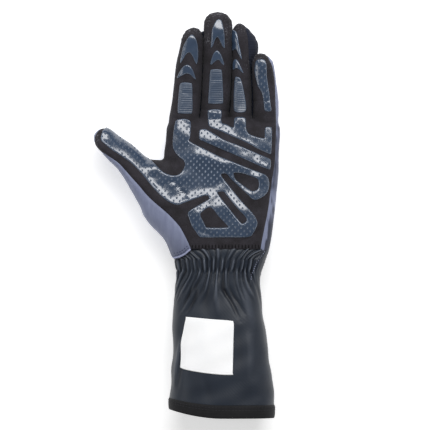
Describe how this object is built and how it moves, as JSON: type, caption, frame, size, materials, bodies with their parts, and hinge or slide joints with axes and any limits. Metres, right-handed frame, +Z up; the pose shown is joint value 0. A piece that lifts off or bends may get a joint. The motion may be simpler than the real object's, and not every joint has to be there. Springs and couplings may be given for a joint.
{
  "type": "karting glove, left hand, with a gauntlet cuff",
  "caption": "Left-hand racing glove with silicone grip prints on a suede palm, a gathered elastic wrist, a long gauntlet cuff and a blank sewn label.",
  "frame": {"origin": "middle of the underside, where the back of the glove rests", "axes": "+Z up out of the palm, +Y along the fingers away from the cuff, -X towards the thumb"},
  "size_m": [0.1418, 0.314, 0.0465],
  "materials": {
    "suede": "matt synthetic suede with a short nap",
    "woven": "fine stretch weave, slightly satin",
    "knit": "matt fine knit",
    "silicone": "glossy printed silicone with small dimples",
    "cuff_cloth": "dense twill, slightly satin",
    "hem_tape": "matt folded tape with two rows of stitches",
    "label_cloth": "smooth woven label"
  },
  "bodies": {
    "root": {"palm_panel": "suede", "back_panel": "woven", "thumb_gusset": "woven", "fourchette_index_middle": "knit", "fourchette_middle_ring": "knit", "fourchette_ring_little": "knit", "grip_tip_index": "silicone", "grip_chevron_index": "silicone", "grip_ribs_index": "silicone", "grip_tip_middle": "silicone", "grip_chevron_middle": "silicone", "grip_ribs_middle": "silicone", "grip_tip_ring": "silicone", "grip_chevron_ring": "silicone", "grip_ribs_ring": "silicone", "grip_little": "silicone", "grip_palm": "silicone", "grip_bar": "silicone", "grip_knuckle": "silicone", "cuff": "cuff_cloth", "cuff_hem": "hem_tape", "label_patch": "label_cloth"}
  },
  "joints": []
}
